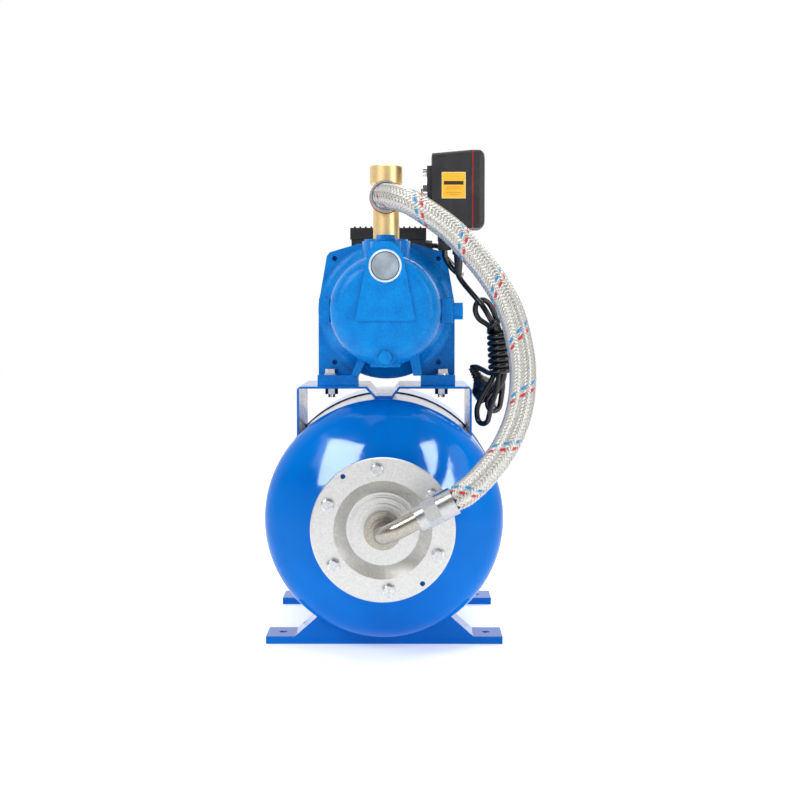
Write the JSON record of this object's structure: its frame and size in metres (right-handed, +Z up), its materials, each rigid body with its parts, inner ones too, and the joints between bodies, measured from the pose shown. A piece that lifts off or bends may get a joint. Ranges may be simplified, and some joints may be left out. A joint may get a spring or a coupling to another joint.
{
  "type": "automatic water booster set",
  "caption": "Jet pump and motor on a horizontal pressure tank, with a brass fitting, pressure switch, braided hose and tied mains cord.",
  "frame": {"origin": "centre of the four floor holes, on the floor, under the tank's axis", "axes": "+Z up, -Y the front where the tank flange and the suction port are, +X to the right seen from the front"},
  "size_m": [0.2985, 0.5941, 0.561],
  "materials": {
    "black_plastic": "matte",
    "black_rubber": "satin",
    "blue_gloss": "gloss paint",
    "box_black": "moulded",
    "braid": "woven wire",
    "brass": "satin",
    "brass_satin": "satin",
    "bright_steel": "satin",
    "cast_blue": "paint over a cast surface",
    "chrome": "plated",
    "contact_copper": "stamped",
    "copper": "enamelled wire",
    "cord_black": "glossy",
    "fan_cover_black": "moulded",
    "galvanised": "galvanised",
    "grey_plastic": "matte",
    "housing_blue": "paint over aluminium",
    "impeller_brass": "cast",
    "label_yellow": "printed film",
    "lamination": "stacked sheets",
    "membrane_rubber": "satin",
    "nickel": "nickel plated",
    "noryl": "moulded",
    "plug_black": "moulded",
    "red_rubber": "satin",
    "seal_ceramic": "lapped",
    "seal_steel": "machined",
    "seam": "gloss paint over a weld",
    "shaft_steel": "ground",
    "switch_plastic": "moulded",
    "white_plastic": "moulded",
    "zinc": "zinc plated"
  },
  "bodies": {
    "set": {"tank_front_half": "blue_gloss", "tank_rear_half": "blue_gloss", "tank_weld_seam": "seam", "tank_membrane": "membrane_rubber", "tank_flange": "galvanised", "flange_bolts": "zinc", "flange_nuts": "zinc", "front_foot": "blue_gloss", "rear_foot": "blue_gloss", "pump_bracket": "blue_gloss", "air_valve": "brass", "air_valve_cap": "black_plastic", "flange_coupling": "nickel", "elbow_tube": "nickel", "lower_ferrule": "bright_steel", "hose_braid": "braid", "hose_liner": "black_rubber", "upper_nut": "bright_steel", "hose_gasket": "red_rubber", "pump_casing": "cast_blue", "drain_plug": "cast_blue", "priming_plug": "cast_blue", "side_plug": "cast_blue", "jet_nozzle": "brass", "venturi_tube": "noryl", "diffuser": "noryl", "seal_seat": "seal_ceramic", "casing_bolts": "zinc", "motor_adapter": "cast_blue", "foot_bolts": "zinc", "bearings": "shaft_steel", "stator_core": "lamination", "windings": "copper", "motor_housing": "housing_blue", "rear_shield": "housing_blue", "fan_cover": "fan_cover_black", "terminal_box": "box_black", "terminal_cover": "box_black", "capacitor": "grey_plastic", "cable_glands": "black_plastic", "motor_cable": "cord_black", "brass_fitting": "brass_satin", "port_plug": "brass_satin", "switch_flange": "chrome", "switch_housing": "switch_plastic", "switch_seal": "red_rubber", "switch_cover": "switch_plastic", "switch_label": "label_yellow", "mains_cord": "cord_black", "cord_bundle": "cord_black", "mains_plug": "plug_black"},
    "rotor": {"motor_shaft": "shaft_steel", "impeller": "impeller_brass", "impeller_nut": "brass", "seal_ring": "seal_steel", "rotor_core": "lamination", "fan": "black_plastic"},
    "cap": {"suction_cap": "grey_plastic"},
    "plunger": {"switch_plunger": "white_plastic"},
    "arm": {"contact_arm": "contact_copper"}
  },
  "joints": [
    {"name": "rotor_spin", "type": "hinge", "parent": "set", "child": "rotor", "pos_m": [0.002, 0, 0.38], "axis": [0, 1, 0], "continuous": true},
    {"name": "suction_cap_pull", "type": "slide", "parent": "set", "child": "cap", "axis": [0, -1, 0], "range_m": [0, 0.06]},
    {"name": "switch_plunger_slide", "type": "slide", "parent": "set", "child": "plunger", "axis": [1, 0, 0], "range_m": [0, 0.002], "stiffness_N_per_m": 400},
    {"name": "contact_arm_tilt", "type": "hinge", "parent": "set", "child": "arm", "pos_m": [0.08, -0.118, 0.538], "axis": [0, -1, 0], "range_deg": [0, 4.5]}
  ],
  "couplings": [
    {"joint": "contact_arm_tilt", "follows": "switch_plunger_slide", "rad_per_m": 36}
  ]
}
